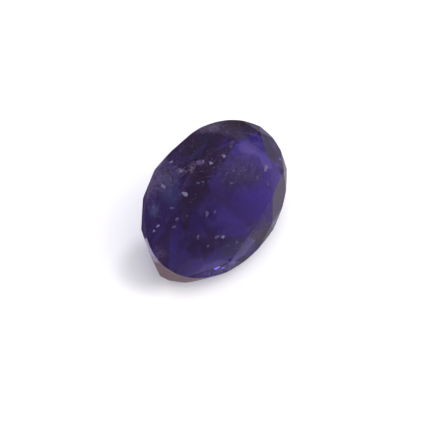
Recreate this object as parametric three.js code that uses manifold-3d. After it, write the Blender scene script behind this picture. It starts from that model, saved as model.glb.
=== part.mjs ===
// A faceted oval iolite, lying loose on one of its pavilion facets.
//
// The stone is made the way a cutter makes it. An oval preform is ground flat, facet by
// facet, against the planes below. The planes are laid out on a round stone, where every
// facet of a row is alike, and the round stone is stretched along X into the oval one.
//
// Stone's own axes: X along the oval, Y across it, Z out of the table. The middle of the
// girdle is at the origin. Millimetres throughout. The finished stone is turned about X
// until its long-side pavilion main is flat on z = 0.

import * as THREE from 'three';
import { mergeVertices } from 'three/addons/utils/BufferGeometryUtils.js';
import Module from 'manifold-3d';

// Driving dimensions
const LENGTH = 8.0;
const WIDTH = 6.0;
const CROWN_HEIGHT = 0.95;
const GIRDLE_THICKNESS = 0.22;
const PAVILION_DEPTH = 2.95;

// Crown: eight mains, eight stars and sixteen breaks around the table
const MAINS = 8;
const TABLE_RATIO = 0.68;
const TABLE_SHIFT = [-0.02, 0.18];
const STAR_TIP_HEIGHT = 0.56;

// Pavilion: eight mains to the culet, a middle row between them, and a steep row under the
// girdle. It is cut by eye, so the mains and the middle facets differ. Each of their entries is
// a direction on the round stone and an angle from level. The main on the long side is the one
// that the stone lies on: it goes through the culet, and the other mains meet beside it.
const REST_FACING = 270;
const REST_ANGLE = 40;
const MAIN_CUTS = [[0, 47], [45, 42], [90, 48], [135, 40], [180, 30], [225, 30], [315, 48]];
const MIDDLE_CUTS = [[22.5, 53], [67.5, 48], [112.5, 55], [157.5, 51], [292.5, 47], [337.5, 44]];
const MEETING_SHIFT = [0.14, -0.09, -0.2];
const MIDDLE_DROP = 0.53;
const STEEP_ANGLE = 58;
const STEEP_REACH = 0.99;

// The belly left under one end of the girdle to keep weight. The preform leans outwards there.
// The belly has no middle row, and two rows of chamfers in place of the steep row. Each row has
// an angle and a depth under the girdle.
const BELLY_FACING = 180;
const BELLY_LEAN = 0.3;
const BELLY_FROM = 172.5;
const BELLY_TO = 247.5;
const BELLY_STEP = 15;
const BELLY_CHAMFERS = [
  { angle: 78, depth: 0.5 },
  { angle: 42, depth: 1.9 },
];

// A small shell-shaped chip in the edge of the girdle, by direction on the round stone
const CHIP = { facing: -15, depth: 0.05, radius: 0.3 };

const GIRDLE_STEPS = 96;
const CHIP_STEPS_AROUND = 20;
const CHIP_STEPS_DOWN = 14;
const DRUM_HEIGHT = 8;
const GRINDER_SIZE = 40;

const RADIUS = WIDTH / 2;
const STRETCH = LENGTH / WIDTH;
const GIRDLE_TOP = GIRDLE_THICKNESS / 2;
const TABLE_Z = GIRDLE_TOP + CROWN_HEIGHT;
const CULET_Z = -GIRDLE_TOP - PAVILION_DEPTH;
const STEP = 360 / MAINS;
const HALF_STEP = STEP / 2;

const rad = THREE.MathUtils.degToRad;

// How far out the lines meet that touch the girdle at the middle of each break. So the breaks
// only graze the girdle, and it stays round between them.
const TANGENT_REACH = RADIUS / Math.cos(rad(HALF_STEP / 2));

// A point at a direction in degrees, a distance from the axis, and a height
function at(degrees, distance, z) {
  return new THREE.Vector3(distance * Math.cos(rad(degrees)), distance * Math.sin(rad(degrees)), z);
}

// A facet through a point. It faces a direction in degrees and leans from level by its angle:
// 0 is level, 90 is upright, and side is 1 on the crown and -1 on the pavilion.
function facetThrough(point, degrees, angle, side) {
  const normal = at(degrees, Math.sin(rad(angle)), side * Math.cos(rad(angle)));
  return new THREE.Plane().setFromNormalAndCoplanarPoint(normal, point);
}

// A facet through three points, facing away from the middle of the stone
function facetOn(a, b, c) {
  const plane = new THREE.Plane().setFromCoplanarPoints(a, b, c);
  return plane.constant > 0 ? plane.negate() : plane;
}

// The point that two facets share at a height
function meetAt(first, second, z) {
  const m = first.normal;
  const n = second.normal;
  const p = -first.constant - m.z * z;
  const q = -second.constant - n.z * z;
  const area = m.x * n.y - m.y * n.x;
  return new THREE.Vector3((p * n.y - q * m.y) / area, (q * m.x - p * n.x) / area, z);
}

function crownFacets() {
  const middle = new THREE.Vector3(...TABLE_SHIFT, 0);
  const corners = [];
  const mains = [];
  for (let k = 0; k < MAINS; k++) {
    const edge = at(k * STEP, RADIUS, GIRDLE_TOP);
    const corner = at(k * STEP, RADIUS * TABLE_RATIO, TABLE_Z).add(middle);
    const alongGirdle = edge.clone().add(at(k * STEP + 90, 1, 0));
    corners.push(corner);
    mains.push(facetOn(corner, edge, alongGirdle));
  }
  const table = new THREE.Plane(new THREE.Vector3(0, 0, 1), -TABLE_Z);
  const stars = [];
  const breaks = [];
  for (let k = 0; k < MAINS; k++) {
    const next = (k + 1) % MAINS;
    const tip = meetAt(mains[k], mains[next], GIRDLE_TOP + CROWN_HEIGHT * STAR_TIP_HEIGHT);
    stars.push(facetOn(corners[k], corners[next], tip));
    for (const start of [k * STEP, k * STEP + HALF_STEP]) {
      const from = at(start, TANGENT_REACH, GIRDLE_TOP);
      const to = at(start + HALF_STEP, TANGENT_REACH, GIRDLE_TOP);
      breaks.push(facetOn(from, to, tip));
    }
  }
  return [table, ...mains, ...stars, ...breaks];
}

// The rest facet and the other mains, then the middle row under its own part of the girdle
function lowerPavilionFacets() {
  const culet = new THREE.Vector3(0, 0, CULET_Z);
  const meeting = new THREE.Vector3(...MEETING_SHIFT).add(culet);
  const facets = [facetThrough(culet, REST_FACING, REST_ANGLE, -1)];
  for (const [facing, angle] of MAIN_CUTS) {
    facets.push(facetThrough(meeting, facing, angle, -1));
  }
  for (const [facing, angle] of MIDDLE_CUTS) {
    const top = at(facing, RADIUS, -GIRDLE_TOP - MIDDLE_DROP);
    facets.push(facetThrough(top, facing, angle, -1));
  }
  return facets;
}

// The steep row under the girdle, each facet just inside its edge
function steepFacets() {
  const facets = [];
  for (let k = 0; k < 2 * MAINS; k++) {
    const facing = (k + 0.5) * HALF_STEP;
    if (facing < BELLY_FROM || facing > BELLY_TO) {
      const edge = at(facing, RADIUS * STEEP_REACH, -GIRDLE_TOP);
      facets.push(facetThrough(edge, facing, STEEP_ANGLE, -1));
    }
  }
  return facets;
}

// The chamfers of the belly, each through a point as far out as the leaning wall reaches
function bellyFacets() {
  const facets = [];
  for (const { angle, depth } of BELLY_CHAMFERS) {
    for (let facing = BELLY_FROM; facing <= BELLY_TO; facing += BELLY_STEP) {
      const edge = at(facing, RADIUS + BELLY_LEAN * depth, -GIRDLE_TOP - depth);
      facets.push(facetThrough(edge, facing, angle, -1));
    }
  }
  return facets;
}

// The preform: a round drum that is upright above the girdle, and leans to the belly below it
function preformGeometry() {
  const drum = new THREE.CylinderGeometry(RADIUS, RADIUS, 2 * DRUM_HEIGHT, GIRDLE_STEPS, 2);
  drum.rotateX(Math.PI / 2);
  const lean = at(BELLY_FACING, BELLY_LEAN * DRUM_HEIGHT, 0);
  const places = drum.attributes.position;
  for (let k = 0; k < places.count; k++) {
    if (places.getZ(k) < -DRUM_HEIGHT / 2) {
      places.setXY(k, places.getX(k) + lean.x, places.getY(k) + lean.y);
    }
  }
  return drum;
}

// The ball whose surface is the hollow of the chip. It is narrowed here, and the stretch along X
// makes it round again.
function chipGeometry() {
  const ball = new THREE.SphereGeometry(CHIP.radius, CHIP_STEPS_AROUND, CHIP_STEPS_DOWN);
  const place = at(CHIP.facing, RADIUS + CHIP.radius - CHIP.depth, 0);
  return ball.scale(1 / STRETCH, 1, 1).translate(place.x, place.y, place.z);
}

// The block that grinds a facet: its near face lies on the facet, and the rest is outside
function grinderGeometry(facet) {
  const block = new THREE.BoxGeometry(GRINDER_SIZE, GRINDER_SIZE, GRINDER_SIZE);
  block.translate(0, 0, GRINDER_SIZE / 2);
  const up = new THREE.Vector3(0, 0, 1);
  block.applyQuaternion(new THREE.Quaternion().setFromUnitVectors(up, facet.normal));
  const foot = facet.coplanarPoint(new THREE.Vector3());
  return block.translate(foot.x, foot.y, foot.z);
}

const wasm = await Module();
wasm.setup();

function solidFrom(geometry) {
  geometry.deleteAttribute('normal');
  geometry.deleteAttribute('uv');
  const closed = mergeVertices(geometry);
  return new wasm.Manifold(new wasm.Mesh({
    numProp: 3,
    vertProperties: new Float32Array(closed.attributes.position.array),
    triVerts: new Uint32Array(closed.index.array),
  }));
}

function geometryFrom(solid) {
  const mesh = solid.getMesh();
  const geometry = new THREE.BufferGeometry();
  geometry.setAttribute('position', new THREE.BufferAttribute(mesh.vertProperties, 3));
  geometry.setIndex(new THREE.BufferAttribute(mesh.triVerts, 1));
  geometry.computeVertexNormals();
  return geometry;
}

function stoneGeometry() {
  let stone = solidFrom(preformGeometry());
  const pavilion = [...lowerPavilionFacets(), ...steepFacets(), ...bellyFacets()];
  for (const facet of [...crownFacets(), ...pavilion]) {
    stone = stone.subtract(solidFrom(grinderGeometry(facet)));
  }
  stone = stone.subtract(solidFrom(chipGeometry()));
  return geometryFrom(stone).scale(STRETCH, 1, 1);
}

const iolite = new THREE.MeshStandardMaterial({ color: 0x3c3262, roughness: 0.1, metalness: 0.0 });

const stone = new THREE.Mesh(stoneGeometry(), iolite);
stone.name = 'iolite';
stone.rotation.x = rad(REST_ANGLE);
stone.updateMatrix();

// The origin is under the middle of the lying stone, on the surface that carries it
const extent = new THREE.Box3().setFromObject(stone, true);
const centre = extent.getCenter(new THREE.Vector3());
stone.position.set(-centre.x, -centre.y, -extent.min.z);

const group = new THREE.Group();
group.add(stone);

export default group;
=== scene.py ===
import math

import bmesh
import bpy
import numpy as np
from mathutils import Matrix, Vector
from mathutils.bvhtree import BVHTree


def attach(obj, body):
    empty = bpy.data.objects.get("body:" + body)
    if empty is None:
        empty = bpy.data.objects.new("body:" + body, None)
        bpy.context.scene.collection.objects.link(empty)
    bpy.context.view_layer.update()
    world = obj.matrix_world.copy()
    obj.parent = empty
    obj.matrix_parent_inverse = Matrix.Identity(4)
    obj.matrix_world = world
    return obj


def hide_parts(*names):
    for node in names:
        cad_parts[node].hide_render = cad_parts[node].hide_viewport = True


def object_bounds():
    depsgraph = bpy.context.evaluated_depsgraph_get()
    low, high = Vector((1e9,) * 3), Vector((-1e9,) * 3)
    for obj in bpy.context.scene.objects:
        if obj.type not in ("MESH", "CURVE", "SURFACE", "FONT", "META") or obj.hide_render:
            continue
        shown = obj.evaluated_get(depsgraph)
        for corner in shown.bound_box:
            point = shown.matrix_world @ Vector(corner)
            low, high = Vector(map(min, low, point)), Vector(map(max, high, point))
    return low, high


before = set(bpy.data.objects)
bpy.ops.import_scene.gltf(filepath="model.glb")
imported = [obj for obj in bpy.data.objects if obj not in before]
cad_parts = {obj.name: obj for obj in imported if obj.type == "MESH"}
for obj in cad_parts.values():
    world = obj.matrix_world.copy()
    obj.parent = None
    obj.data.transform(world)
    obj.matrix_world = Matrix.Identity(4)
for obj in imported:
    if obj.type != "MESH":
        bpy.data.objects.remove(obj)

CAD_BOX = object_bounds()

MM = 0.001

# The camera, from the photograph: how the stone's middle is seen, and how large
PHOTO_SIDE = 430
STONE_PIXEL = (212.3, 199.1)
PIXELS_PER_MM = 23.38
CAMERA_AZIMUTH = -57.1
CAMERA_ELEVATION = 56.5
CAMERA_ROLL = 10.0
CAMERA_DISTANCE = 150 * MM
CAMERA_CLIP = (0.005, 10)
STONE_MIDDLE = Vector((0.018, 0.216, 2.2)) * MM
SENSOR_WIDTH = 36.0

# The stone lies with its table turned about X: its girdle's middle and half thickness, the way its
# table faces, and the ways along and across its oval
REST_ANGLE = math.radians(40)
GIRDLE_MIDDLE = Vector((0.026, 0.091, 2.344)) * MM
GIRDLE_HALF = 0.11 * MM
TABLE_FACING = Vector((0, -math.sin(REST_ANGLE), math.cos(REST_ANGLE)))
LONG_WAY = Vector((1, 0, 0))
ACROSS_WAY = Vector((0, math.cos(REST_ANGLE), math.sin(REST_ANGLE)))
STRETCH = 8 / 6

# The belly under one end of the girdle: its directions on the round stone, and how steep its
# wall stands. The wall is left with a brownish skin.
BELLY_FROM = math.radians(165)
BELLY_TO = math.radians(255)
WALL_LIMIT = math.cos(math.radians(66))

# The look of the stone. The rim runs from a little under the girdle to a little over it, and each
# of its borders fades between two heights, in half thicknesses of the girdle.
STONE_IOR = 1.54
STONE_CLEARNESS = 0.96
BODY_TINTS = ((0.46, 0.30, 0.64, 1), (0.41, 0.28, 0.64, 1))
BODY_COLOUR = (0.04, 0.10, 0.62, 1)
BODY_DENSITY = 820
# The crown's reflections are tinted lilac: a painted colour on its reflections
CROWN_TINT = (1.0, 0.68, 1.0, 1)
CROWN_ROUGHNESS = (0.16, 0.24)
PAVILION_ROUGHNESS = (0.12, 0.17)
RIM_ROUGHNESS = 0.35
RIM_COLOURS = ((0.50, 0.33, 0.42, 1), (0.66, 0.46, 0.58, 1))
RIM_UNDERSIDE = (-1, -1.6)
RIM_UPPER_SIDE = (1.5, 0.9)
SKIN_COLOURS = ((0.30, 0.20, 0.21, 1), (0.44, 0.32, 0.33, 1))
SKIN_CLEARNESS = 0.5
SKIN_ROUGHNESS = (0.4, 0.6)

# The faint relief of a worn surface: slow waves, and fine scratches over them
WAVE_STRENGTH = 0.25
WAVE_DEPTH = 0.01 * MM
STONE_SCRATCHES = 0.25
SKIN_SCRATCHES = 0.5
SCRATCH_DEPTH = 0.002 * MM

# How fine each pattern is, in repeats to a metre
BODY_PATTERN = 900
RIM_PATTERN = 3000
CROWN_POLISH_PATTERN = 1400
PAVILION_POLISH_PATTERN = 1100
SKIN_PATTERN = 2200
SKIN_POLISH_PATTERN = 6000
WAVE_PATTERN = 700
SCRATCH_PATTERN = 9000
ZONE_PATTERN = 1500
DUST_PATTERN = 12000
DUST_POLISH_PATTERN = 20000
DUST_RELIEF_PATTERN = 40000

# The part of a pattern's range that is spread over the whole of what it drives
SPREAD = (0.3, 0.7)
CROWN_SPREAD = (0.35, 0.75)

# Zones of painted light and shade in the stone: tints of its colour that stand in for the light and
# dark patches of its inner reflections, for painted highlights along the table's edge, and for a
# painted dark line at the top of the rim. Each gives the pixel under the middle of a zone, its half
# length and half width in pixels, the turn of its length, and its tint. Later zones lie over
# earlier ones.
GREY_SHADE = (0.38, 0.33, 0.31, 1)
PURPLE_BROWN = (0.15, 0.08, 0.15, 1)
VIOLET = (0.58, 0.38, 1.0, 1)
BLUE = (0.68, 0.84, 1.0, 1)
LILAC = (0.90, 0.72, 0.95, 1)
PINK = (1.0, 0.86, 0.92, 1)
DARK_VIOLET = (0.14, 0.09, 0.22, 1)
DEEP_VIOLET = (0.12, 0.06, 0.38, 1)
DARK_GREY = (0.26, 0.25, 0.24, 1)
SLATE = (0.25, 0.29, 0.38, 1)
MAROON = (0.10, 0.03, 0.06, 1)
GREY_LILAC = (0.66, 0.62, 0.62, 1)
PALE_SKIN = (0.74, 0.68, 0.80, 1)
PAINTED_LIGHT_ZONES = [
    (240, 176, 38, 25, 0, GREY_SHADE),
    (202, 146, 38, 15, 38, SLATE),
    (253, 138, 17, 5, -28, DEEP_VIOLET),
    (195, 192, 46, 19, 70, PURPLE_BROWN),
    (208, 224, 42, 22, 10, DEEP_VIOLET),
    (208, 243, 46, 19, 6, PURPLE_BROWN),
    (232, 248, 24, 12, 28, DARK_GREY),
    (245, 208, 52, 25, 20, VIOLET),
    (169, 186, 25, 13, 100, BLUE),
    (155, 209, 12, 7, 100, BLUE),
    (163, 248, 26, 18, 100, VIOLET),
    (216, 270, 36, 12, 18, LILAC),
    (260, 236, 34, 11, 56, GREY_LILAC),
    (250, 149, 17, 7, -22, LILAC),
    (265, 160, 12, 6, -68, LILAC),
    (240, 127, 20, 7, -5, DARK_VIOLET),
    (230, 140, 13, 8, 35, DARK_VIOLET),
    (270, 148, 22, 7, -60, DARK_VIOLET),
    (157, 172, 22, 7, 58, LILAC),
    (240, 122, 26, 4, -5, MAROON),
    (209, 128, 14, 6, 18, PINK),
]
BELLY_ZONES = [
    (149, 247, 20, 12, -58, PALE_SKIN),
]
# Where the crown's reflection is tinted darker: painted shade on what the crown mirrors
DIMMED_REFLECTION = (0.5, 0.28, 0.7, 1)
DIMMED_REFLECTION_ZONES = [
    (262, 141, 36, 14, -50, DIMMED_REFLECTION),
]
# How deep a zone reaches, how much its edge wavers, and the share of its reach at full strength
ZONE_DEPTH = 1.5 * MM
ZONE_WAVER = 0.35
PATCH_CORE = 0.35

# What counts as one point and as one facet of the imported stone
SAME_POINT = 0.002 * MM
FLAT_LIMIT = math.radians(0.4)

# Wear on the edges between facets. An edge is rounded where its faces meet at more than a limit,
# and less where a neighbouring edge is shorter than a few roundings.
EDGE_ROUND = 0.022 * MM
EDGE_STEPS = 2
EDGE_LIMIT = math.radians(7)
ROOM_FOR_ROUND = 5

# Flecks of dust on the crown, where the photograph shows them: the pixel under the middle of a
# fleck, its half length and half width in pixels, and the turn of its length in the picture
BRIGHT_FLECKS = [
    (185, 194, 3.5, 2.7, -25), (211, 163, 2.7, 1.7, 10), (224, 156, 2.6, 1.7, 15),
    (171, 162, 2.0, 1.7, 0), (158, 226, 1.9, 1.5, 30), (154, 231, 1.6, 1.3, 20),
    (223, 237, 2.1, 1.8, 0), (266, 168, 3.4, 2.5, 45), (203, 161, 1.6, 0.9, 20),
    (181, 171, 2.6, 1.3, -5), (163, 186, 2.6, 1.8, 145), (263, 134, 1.2, 0.5, 40),
]
FAINT_FLECKS = [
    (237, 242, 2.1, 1.7, 0), (174, 227, 2.0, 1.7, 40), (207, 214, 3.6, 1.9, 85),
    (177, 219, 2.0, 1.7, 0), (198, 237, 2.2, 1.9, 60), (217, 237, 3.6, 1.7, 10),
    (187, 216, 1.4, 1.0, 0), (228, 246, 1.6, 1.2, 0), (208, 246, 1.6, 1.3, 0),
    (268, 184, 2.2, 1.6, 0), (232, 183, 1.8, 1.3, 0), (198, 183, 2.6, 1.2, 5),
    (203, 182, 2.0, 1.1, -10), (234, 170, 1.5, 0.8, 30), (245, 170, 1.6, 1.1, 40),
    (258, 178, 2.2, 1.3, 80), (272, 178, 1.8, 1.0, 100), (227, 173, 1.8, 1.1, 50),
    (157, 178, 2.2, 1.5, 30), (162, 168, 1.4, 0.8, 10), (215, 212, 2.0, 1.3, 20),
    (251, 134, 2.4, 1.2, 10), (231, 146, 2.4, 1.6, 60), (232, 142, 2.2, 1.4, 60),
    (172, 208, 2.4, 1.5, 10), (227, 132, 1.6, 1.2, 0),
]
# Painted sparks: flecks of bright violet colour that stand in for light coming back out of the
# stone as a small spark, given as the flecks are
PAINTED_SPARKS = [(217, 268, 3.3, 2.0, 0), (223, 268, 2.2, 1.0, 10), (280, 159, 1.6, 1.3, 0)]

# The shape of a fleck: its height, the waver of its outline, where its shoulder is, and how deep
# its rim and its foot are sunk, as shares of its height
FLECK_HEIGHT = 0.018 * MM
FLECK_WAVER = (0.22, 0.14)
FLECK_SHOULDER = 0.6
FLECK_SINK = (0.1, 0.5)

# The look of the dust, and of the painted sparks: each kind has colours between two
FLECK_COLOURS = ((0.12, 0.11, 0.17, 1), (0.29, 0.27, 0.39, 1))
FAINT_COLOURS = ((0.07, 0.06, 0.13, 1), (0.15, 0.135, 0.24, 1))
PAINTED_SPARK_COLOURS = ((0.22, 0.15, 0.95, 1), (0.42, 0.33, 1.0, 1))
FINE_DUST_COLOURS = ((0.18, 0.15, 0.23, 1), (0.34, 0.29, 0.42, 1))
DUST_ROUGHNESS = (0.7, 0.95)
DUST_RELIEF = 0.5
DUST_RELIEF_DEPTH = 0.004 * MM

# Patches of the finest dust: partly a real haze, and partly grains heaped to lighten places, as
# painted highlights along a facet edge and around a spark. Each gives the pixel at the middle of a
# patch, its spread in pixels to the sides and up, and its number of grains. Loose grains lie all
# over.
HAZE_AND_HIGHLIGHT_PATCHES = [
    (240, 170, 17, 10, 1350), (250, 152, 11, 7, 500), (186, 150, 20, 14, 500),
    (160, 178, 6, 9, 600), (149, 190, 3, 9, 500), (173, 172, 6, 6, 300),
    (220, 268, 7, 3, 600), (192, 168, 2.0, 2.8, 200), (199, 162, 3.0, 2.0, 230),
    (182, 171, 3.4, 1.6, 170), (245, 170, 12, 8, 350), (210, 128, 7, 3, 450),
    (152, 183, 4, 10, 450), (159, 255, 4, 5, 300), (212, 273, 11, 2.5, 450),
    (166, 184, 8, 9, 250), (256, 232, 5, 6, 450), (245, 250, 5, 6, 550),
    (157, 176, 3, 5, 250), (154, 210, 2.5, 4, 120), (168, 182, 4, 7, 250),
]
LOOSE_GRAINS = 900
GRAIN_SIZE = 0.010 * MM
GRAIN_VARIETY = 0.45
GRAIN_STEPS = 5
DUST_MARGIN = 0.04 * MM

# Light, and the camera's contrast
ROOM_TINT = (0.98, 0.97, 1.0, 1)
ROOM_BRIGHTNESS = 1.25
KEY_BRIGHTNESS = 1.5
KEY_LEAN = 0.9
KEY_DISTANCE = 0.5
KEY_SIZE = 0.3
CONTRAST_GAMMA = 0.68

# The white card under the stone. It glows a little and evenly, but less in two patches of painted
# shade: a painted shadow beside the stone, and a dimmer patch where the right side of the crown
# mirrors it, which darkens that reflection.
CARD_HALF = 0.6
CARD_SHADE = 0.68
CARD_ROUGHNESS = 0.7
CARD_GLOW = 0.29
SHADOW_MIDDLE = Vector((-3.2, 0.7, 0)) * MM
SHADOW_REACH = Vector((2.1, 1.7, 1)) * MM
SHADOW_GLOW = 0.15
REFLECTION_SHADE_MIDDLE = Vector((11.5, -0.5, 0)) * MM
REFLECTION_SHADE_REACH = Vector((6.5, 6, 1)) * MM
REFLECTION_SHADE_GLOW = 0.115

SEED = 11


def look_axes(azimuth, elevation, roll):
    """Right, up and towards-the-camera directions. Azimuth 0 looks along +Y, 90 along -X."""
    a, e, r = (math.radians(v) for v in (-azimuth, elevation, roll))
    toward = Vector((-math.sin(a) * math.cos(e), -math.cos(a) * math.cos(e), math.sin(e)))
    right = Vector((math.cos(a), -math.sin(a), 0))
    up = toward.cross(right)
    return right * math.cos(r) + up * math.sin(r), up * math.cos(r) - right * math.sin(r), toward


RIGHT, UP, TOWARD = look_axes(CAMERA_AZIMUTH, CAMERA_ELEVATION, CAMERA_ROLL)
PIXEL = MM / PIXELS_PER_MM


def photo_point(x, y):
    """A pixel of the photograph on the picture plane through the stone's middle."""
    return STONE_MIDDLE + RIGHT * (x - STONE_PIXEL[0]) * PIXEL - UP * (y - STONE_PIXEL[1]) * PIXEL


CAMERA_PLACE = photo_point(PHOTO_SIDE / 2, PHOTO_SIDE / 2) + TOWARD * CAMERA_DISTANCE


def line_through(x, y):
    """From the camera through a pixel of the photograph: a start and a direction."""
    return CAMERA_PLACE, (photo_point(x, y) - CAMERA_PLACE).normalized()


def picture_way(turn):
    """The direction that is turned by an angle in degrees from the picture's right."""
    t = math.radians(turn)
    return RIGHT * math.cos(t) + UP * math.sin(t)


def make_camera():
    """The photograph's view: a lens that makes a millimetre as many pixels as it has there."""
    data = bpy.data.cameras.new("photo camera")
    data.sensor_width = SENSOR_WIDTH
    data.lens = SENSOR_WIDTH * PIXELS_PER_MM * (CAMERA_DISTANCE / MM) / PHOTO_SIDE
    data.clip_start, data.clip_end = CAMERA_CLIP
    camera = bpy.data.objects.new("photo camera", data)
    bpy.context.scene.collection.objects.link(camera)
    turn = Matrix((RIGHT, UP, TOWARD)).transposed().to_4x4()
    camera.matrix_world = Matrix.Translation(CAMERA_PLACE) @ turn
    bpy.context.scene.camera = camera


class Nodes:
    """A material's nodes, made and linked by short calls."""

    def __init__(self, name):
        self.material = bpy.data.materials.new(name)
        self.material.use_nodes = True
        self.tree = self.material.node_tree
        self.tree.nodes.clear()
        self.output = self.tree.nodes.new("ShaderNodeOutputMaterial")
        self.place = self.add("ShaderNodeTexCoord").outputs["Object"]

    def add(self, kind, **settings):
        node = self.tree.nodes.new(kind)
        for name, value in settings.items():
            setattr(node, name, value)
        return node

    def feed(self, socket, value):
        if isinstance(value, bpy.types.NodeSocket):
            self.tree.links.new(value, socket)
        else:
            socket.default_value = value

    def noise(self, scale, detail=3.0, roughness=0.5):
        node = self.add("ShaderNodeTexNoise")
        self.feed(node.inputs["Vector"], self.place)
        node.inputs["Scale"].default_value = scale
        node.inputs["Detail"].default_value = detail
        node.inputs["Roughness"].default_value = roughness
        return node.outputs["Fac"]

    def ramp(self, value, low, high, to_low=0.0, to_high=1.0):
        """A smooth step from one value to another while the given value goes from low to high."""
        node = self.add("ShaderNodeMapRange", interpolation_type="SMOOTHSTEP")
        self.feed(node.inputs["Value"], value)
        node.inputs["From Min"].default_value = low
        node.inputs["From Max"].default_value = high
        node.inputs["To Min"].default_value = to_low
        node.inputs["To Max"].default_value = to_high
        return node.outputs["Result"]

    def math(self, kind, first, second):
        node = self.add("ShaderNodeMath", operation=kind)
        self.feed(node.inputs[0], first)
        self.feed(node.inputs[1], second)
        return node.outputs[0]

    def along(self, way, origin):
        """How far a place on the stone lies along a direction, from an origin."""
        shift = self.add("ShaderNodeVectorMath", operation="SUBTRACT")
        self.feed(shift.inputs[0], self.place)
        shift.inputs[1].default_value = origin
        dot = self.add("ShaderNodeVectorMath", operation="DOT_PRODUCT")
        self.feed(dot.inputs[0], shift.outputs[0])
        dot.inputs[1].default_value = way
        return dot.outputs["Value"]

    def blend(self, share, first, second):
        """A colour between two colours."""
        node = self.add("ShaderNodeMix", data_type="RGBA")
        self.feed(node.inputs[0], share)
        self.feed(node.inputs[6], first)
        self.feed(node.inputs[7], second)
        return node.outputs[2]

    def patch(self, centre, turn, half_sizes, waver=None):
        """1 in the middle of an egg-shaped patch, fading to 0 at its edge, which may waver."""
        moved = self.add("ShaderNodeMapping", vector_type="TEXTURE")
        self.feed(moved.inputs["Vector"], self.place)
        moved.inputs["Location"].default_value = centre
        moved.inputs["Rotation"].default_value = turn
        moved.inputs["Scale"].default_value = half_sizes
        length = self.add("ShaderNodeVectorMath", operation="LENGTH")
        self.feed(length.inputs[0], moved.outputs[0])
        reach = length.outputs["Value"]
        return self.ramp(self.math("ADD", reach, waver) if waver else reach, 1.0, PATCH_CORE)

    def slide(self, share, first, second):
        """A number between two numbers."""
        node = self.add("ShaderNodeMix", data_type="FLOAT")
        self.feed(node.inputs[0], share)
        self.feed(node.inputs[2], first)
        self.feed(node.inputs[3], second)
        return node.outputs[0]

    def bump(self, height, strength, distance, normal=None):
        node = self.add("ShaderNodeBump")
        node.inputs["Strength"].default_value = strength
        node.inputs["Distance"].default_value = distance
        self.feed(node.inputs["Height"], height)
        if normal:
            self.feed(node.inputs["Normal"], normal)
        return node.outputs["Normal"]


def gem_shader(n, tint, clearness, colour, rough, scratches):
    """A clear stone that takes up light on its way through."""
    gem = n.add("ShaderNodeBsdfPrincipled")
    gem.inputs["Transmission Weight"].default_value = clearness
    gem.inputs["IOR"].default_value = STONE_IOR
    n.feed(gem.inputs["Specular Tint"], tint)
    n.feed(gem.inputs["Base Color"], colour)
    n.feed(gem.inputs["Roughness"], rough)
    waves = n.bump(n.noise(WAVE_PATTERN, detail=2), WAVE_STRENGTH, WAVE_DEPTH)
    marks = n.bump(n.noise(SCRATCH_PATTERN, detail=4), scratches, SCRATCH_DEPTH, waves)
    n.feed(gem.inputs["Normal"], marks)
    n.tree.links.new(gem.outputs["BSDF"], n.output.inputs["Surface"])
    body = n.add("ShaderNodeVolumeAbsorption")
    body.inputs["Color"].default_value = BODY_COLOUR
    body.inputs["Density"].default_value = BODY_DENSITY
    n.tree.links.new(body.outputs["Volume"], n.output.inputs["Volume"])
    return n.material


def colour_zones(n, colour, facets, zones):
    """Zones of tint on a stone, each laid around the place on its facets that its pixel shows. They
    carry painted light and shade in the stone's colour and its reflection, and the paler end of the
    belly's skin.
    """
    pattern = n.noise(ZONE_PATTERN, detail=6, roughness=0.7)
    waver = n.ramp(pattern, *SPREAD, -ZONE_WAVER, ZONE_WAVER)
    for x, y, half_length, half_width, turn, tint in zones:
        centre = facets.ray_cast(*line_through(x, y))[0]
        length_way = picture_way(turn)
        axes = Matrix((length_way, TOWARD.cross(length_way), TOWARD))
        sizes = (half_length * PIXEL, half_width * PIXEL, ZONE_DEPTH)
        share = n.patch(centre, axes.transposed().to_euler(), sizes, waver)
        colour = n.blend(share, colour, tint)
    return colour


def iolite_material(facets):
    """Clear violet stone: polished on the crown, worn on the pavilion, and rough at the rim.
    Zones of its colour hold painted light and shade, and part of its crown a darker painted
    reflection.
    """
    n = Nodes("polished iolite")
    height = n.math("DIVIDE", n.along(TABLE_FACING, GIRDLE_MIDDLE), GIRDLE_HALF)
    under = n.ramp(height, *RIM_UNDERSIDE)
    rim = n.math("MULTIPLY", n.ramp(height, *RIM_UPPER_SIDE), n.math("SUBTRACT", 1.0, under))
    body = n.blend(n.noise(BODY_PATTERN), *BODY_TINTS)
    colour = n.blend(rim, body, n.blend(n.noise(RIM_PATTERN), *RIM_COLOURS))
    # Painted light and shade: zones of tint that stand in for the light and dark patches of the
    # stone's inner reflections
    colour = colour_zones(n, colour, facets, PAINTED_LIGHT_ZONES)
    polish = n.ramp(n.noise(CROWN_POLISH_PATTERN, detail=5), *CROWN_SPREAD, *CROWN_ROUGHNESS)
    worn = n.ramp(n.noise(PAVILION_POLISH_PATTERN, detail=5), *SPREAD, *PAVILION_ROUGHNESS)
    rough = n.slide(under, n.slide(rim, polish, RIM_ROUGHNESS), worn)
    # Painted shade on the crown's reflection: its tint is darker in one zone
    mirrored = colour_zones(n, CROWN_TINT, facets, DIMMED_REFLECTION_ZONES)
    return gem_shader(n, mirrored, STONE_CLEARNESS, colour, rough, STONE_SCRATCHES)


def belly_material(facets):
    """The brownish skin that is left on the wall of the belly, paler at one end."""
    n = Nodes("belly skin")
    stain = n.blend(n.noise(SKIN_PATTERN), *SKIN_COLOURS)
    stain = colour_zones(n, stain, facets, BELLY_ZONES)
    rough = n.ramp(n.noise(SKIN_POLISH_PATTERN), *SPREAD, *SKIN_ROUGHNESS)
    return gem_shader(n, (1, 1, 1, 1), SKIN_CLEARNESS, stain, rough, SKIN_SCRATCHES)


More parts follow.
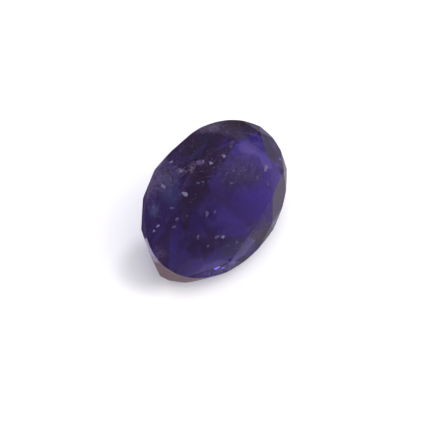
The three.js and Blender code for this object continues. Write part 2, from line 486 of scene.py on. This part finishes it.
def dust_and_spark_material(name, colours):
    """Dull dust, of a colour between two; also the painted sparks, bright violet flecks in place of
    glints.
    """
    n = Nodes(name)
    dust = n.add("ShaderNodeBsdfPrincipled")
    rough = n.ramp(n.noise(DUST_POLISH_PATTERN), *SPREAD, *DUST_ROUGHNESS)
    relief = n.bump(n.noise(DUST_RELIEF_PATTERN), DUST_RELIEF, DUST_RELIEF_DEPTH)
    n.feed(dust.inputs["Base Color"], n.blend(n.noise(DUST_PATTERN), *colours))
    n.feed(dust.inputs["Roughness"], rough)
    n.feed(dust.inputs["Normal"], relief)
    n.tree.links.new(dust.outputs["BSDF"], n.output.inputs["Surface"])
    return n.material


def floor_material():
    """White card with a little glow, weaker in two patches of painted shade."""
    n = Nodes("white card")
    card = n.add("ShaderNodeBsdfPrincipled")
    card.inputs["Base Color"].default_value = (CARD_SHADE,) * 3 + (1,)
    card.inputs["Roughness"].default_value = CARD_ROUGHNESS
    card.inputs["Emission Color"].default_value = (1, 1, 1, 1)
    # Painted shadow beside the stone, and painted shade where the crown mirrors the card
    shadow = n.patch(SHADOW_MIDDLE, (0, 0, 0), SHADOW_REACH)
    side = n.patch(REFLECTION_SHADE_MIDDLE, (0, 0, 0), REFLECTION_SHADE_REACH)
    glow = n.slide(side, n.slide(shadow, CARD_GLOW, SHADOW_GLOW), REFLECTION_SHADE_GLOW)
    n.feed(card.inputs["Emission Strength"], glow)
    n.tree.links.new(card.outputs["BSDF"], n.output.inputs["Surface"])
    return n.material


def new_piece(name, mesh, *materials):
    for material in materials:
        mesh.materials.append(material)
    piece = bpy.data.objects.new(name, mesh)
    bpy.context.scene.collection.objects.link(piece)
    return piece


def make_floor():
    corners = [(-CARD_HALF, -CARD_HALF, 0), (CARD_HALF, -CARD_HALF, 0),
               (CARD_HALF, CARD_HALF, 0), (-CARD_HALF, CARD_HALF, 0)]
    mesh = bpy.data.meshes.new("floor")
    mesh.from_pydata(corners, [], [(0, 1, 2, 3)])
    new_piece("floor", mesh, floor_material())


def cut_stone():
    """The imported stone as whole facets: its points merged and its flat triangles joined."""
    stone = bmesh.new()
    stone.from_mesh(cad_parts["iolite"].data)
    bmesh.ops.remove_doubles(stone, verts=stone.verts, dist=SAME_POINT)
    bmesh.ops.dissolve_limit(stone, angle_limit=FLAT_LIMIT, verts=stone.verts, edges=stone.edges)
    return stone


def belly_faces(mesh):
    """Which faces are the belly's wall or the girdle over it: steep, and in its directions."""
    centres, normals = np.empty((2, len(mesh.polygons), 3))
    mesh.polygons.foreach_get("center", centres.reshape(-1))
    mesh.polygons.foreach_get("normal", normals.reshape(-1))
    centres = centres - np.array(GIRDLE_MIDDLE)
    facing = np.arctan2(centres @ np.array(ACROSS_WAY), centres @ np.array(LONG_WAY) / STRETCH)
    facing %= 2 * math.pi
    steep = abs(normals @ np.array(TABLE_FACING)) < WALL_LIMIT
    return steep & (facing > BELLY_FROM) & (facing < BELLY_TO)


def make_stone(stone, facets):
    """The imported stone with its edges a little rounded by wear."""
    mesh = bpy.data.meshes.new("worn_iolite")
    weight = stone.edges.layers.float.new("bevel_weight_edge")
    shortest = {v: min(e.calc_length() for e in v.link_edges) for v in stone.verts}
    for edge in stone.edges:
        if edge.calc_face_angle(0) > EDGE_LIMIT:
            room = min(shortest[v] for v in edge.verts)
            edge[weight] = min(1.0, room / (ROOM_FOR_ROUND * EDGE_ROUND))
    stone.to_mesh(mesh)
    piece = new_piece("worn_iolite", mesh, iolite_material(facets), belly_material(facets))
    mesh.polygons.foreach_set("material_index", belly_faces(mesh).astype(np.int32))
    wear = piece.modifiers.new("worn edges", "BEVEL")
    wear.width = EDGE_ROUND
    wear.segments = EDGE_STEPS
    wear.limit_method = "WEIGHT"
    wear.use_clamp_overlap = False
    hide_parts("iolite")
    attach(piece, "root")


def fleck_mesh(name, places, normals, ways, lengths, widths, heights, seed, steps=9):
    """Closed flecks, joined in one mesh.

    A fleck is a low dome h (1 - p^2) over an outline that wavers: the reach at angle t is
    1 + w0 sin(2t + a) + w1 sin(3t + b). Its rim is sunk a little, and it closes at a point below.
    """
    waver, shoulder, (rim, foot) = FLECK_WAVER, FLECK_SHOULDER, FLECK_SINK
    count = len(places)
    draw = np.random.default_rng(seed)
    turn = np.linspace(0, 2 * math.pi, steps, endpoint=False)[None, :]
    shift = draw.uniform(0, 2 * math.pi, (2, count, 1))
    reach = (1 + waver[0] * np.sin(2 * turn + shift[0])
             + waver[1] * np.sin(3 * turn + shift[1]))
    side = np.cross(normals, ways)
    flat = ((np.cos(turn) * reach * lengths[:, None])[..., None] * ways[:, None, :]
            + (np.sin(turn) * reach * widths[:, None])[..., None] * side[:, None, :])
    tall = (heights[:, None] * normals)[:, None, :]
    centre = places[:, None, :]
    points = np.concatenate([
        centre - foot * tall, centre + flat - rim * tall,
        centre + shoulder * flat + (1 - shoulder ** 2) * tall, centre + tall], axis=1)
    here = np.arange(steps)
    after = (here + 1) % steps
    low, high, top = 1, 1 + steps, 1 + 2 * steps
    bottom = np.stack([np.zeros(steps, int), low + after, low + here], axis=1)
    wall_a = np.stack([low + here, low + after, high + after], axis=1)
    wall_b = np.stack([low + here, high + after, high + here], axis=1)
    cap = np.stack([high + here, high + after, np.full(steps, top)], axis=1)
    pattern = np.concatenate([bottom, wall_a, wall_b, cap])
    faces = (pattern[None] + (np.arange(count) * points.shape[1])[:, None, None]).reshape(-1, 3)
    mesh = bpy.data.meshes.new(name)
    mesh.from_pydata(points.reshape(-1, 3).tolist(), [], faces.tolist())
    mesh.update()
    return mesh


def make_flecks(facets, name, rows, colours):
    """Flecks that can be told apart, each laid on the facet that its pixel shows."""
    places, normals, ways = [], [], []
    for x, y, _, _, turn in rows:
        place, normal, _, _ = facets.ray_cast(*line_through(x, y))
        way = picture_way(turn)
        places.append(place)
        normals.append(normal)
        ways.append((way - normal * way.dot(normal)).normalized())
    sizes = np.array([row[2:4] for row in rows]) * PIXEL
    mesh = fleck_mesh(name, np.array(places), np.array(normals), np.array(ways),
                      sizes[:, 0], sizes[:, 1], np.full(len(rows), FLECK_HEIGHT), SEED)
    piece = new_piece(name, mesh, dust_and_spark_material(name.replace("_", " "), colours))
    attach(piece, "root")


def make_dust_and_highlights(facets):
    """Fine grains on whatever faces up, and thicker in patches of haze and of painted highlight."""
    draw = np.random.default_rng(SEED + 1)
    low, high = (np.array(v) for v in CAD_BOX)
    rays = [(Vector((x, y, high[2] + MM)), Vector((0, 0, -1)))
            for x, y in draw.uniform(low[:2], high[:2], (LOOSE_GRAINS, 2))]
    for x, y, across, upward, count in HAZE_AND_HIGHLIGHT_PATCHES:
        rays += [line_through(u, v) for u, v in draw.normal((x, y), (across, upward), (count, 2))]
    hits = [facets.ray_cast(start, way)[:2] for start, way in rays]
    places, normals = np.array([hit for hit in hits if hit[0] is not None]).transpose(1, 0, 2)
    inside = np.all((places > low + DUST_MARGIN) & (places < high - DUST_MARGIN), axis=1)
    places, normals = places[inside], normals[inside]
    count = len(places)
    ways = np.cross(normals, draw.normal(size=(count, 3)))
    ways /= np.linalg.norm(ways, axis=1, keepdims=True)
    sizes = GRAIN_SIZE * np.exp(draw.normal(0, GRAIN_VARIETY, (count, 2)))
    mesh = fleck_mesh("fine_dust_and_highlights", places, normals, ways, sizes[:, 0], sizes[:, 1],
                      sizes.min(axis=1), SEED + 2, GRAIN_STEPS)
    piece = new_piece("fine_dust_and_highlights", mesh, dust_and_spark_material("fine dust and highlights", FINE_DUST_COLOURS))
    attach(piece, "root")


def make_light():
    """An even white room, and a soft square panel above the picture's right."""
    world = bpy.data.worlds.new("soft room")
    bpy.context.scene.world = world
    world.use_nodes = True
    room = world.node_tree.nodes["Background"]
    room.inputs["Color"].default_value = ROOM_TINT
    room.inputs["Strength"].default_value = ROOM_BRIGHTNESS
    data = bpy.data.lights.new("key panel", "AREA")
    data.size = KEY_SIZE
    data.energy = KEY_BRIGHTNESS * math.pi * KEY_SIZE ** 2
    panel = bpy.data.objects.new("key panel", data)
    bpy.context.scene.collection.objects.link(panel)
    flat_right = Vector((RIGHT.x, RIGHT.y, 0)).normalized()
    way = (flat_right * KEY_LEAN + Vector((0, 0, 1))).normalized()
    panel.location = STONE_MIDDLE + way * KEY_DISTANCE
    panel.rotation_euler = way.to_track_quat("Z", "Y").to_euler()


scene = bpy.context.scene
scene.view_settings.view_transform = "Standard"
scene.view_settings.look = "None"
scene.view_settings.gamma = CONTRAST_GAMMA
make_camera()
make_floor()
make_light()
stone = cut_stone()
facets = BVHTree.FromBMesh(stone)
make_stone(stone, facets)
make_flecks(facets, "dust_flecks", BRIGHT_FLECKS, FLECK_COLOURS)
make_flecks(facets, "faint_flecks", FAINT_FLECKS, FAINT_COLOURS)
# Painted sparks: flecks of bright violet colour in place of glints of light
make_flecks(facets, "painted_violet_sparks", PAINTED_SPARKS, PAINTED_SPARK_COLOURS)
make_dust_and_highlights(facets)
stone.free()
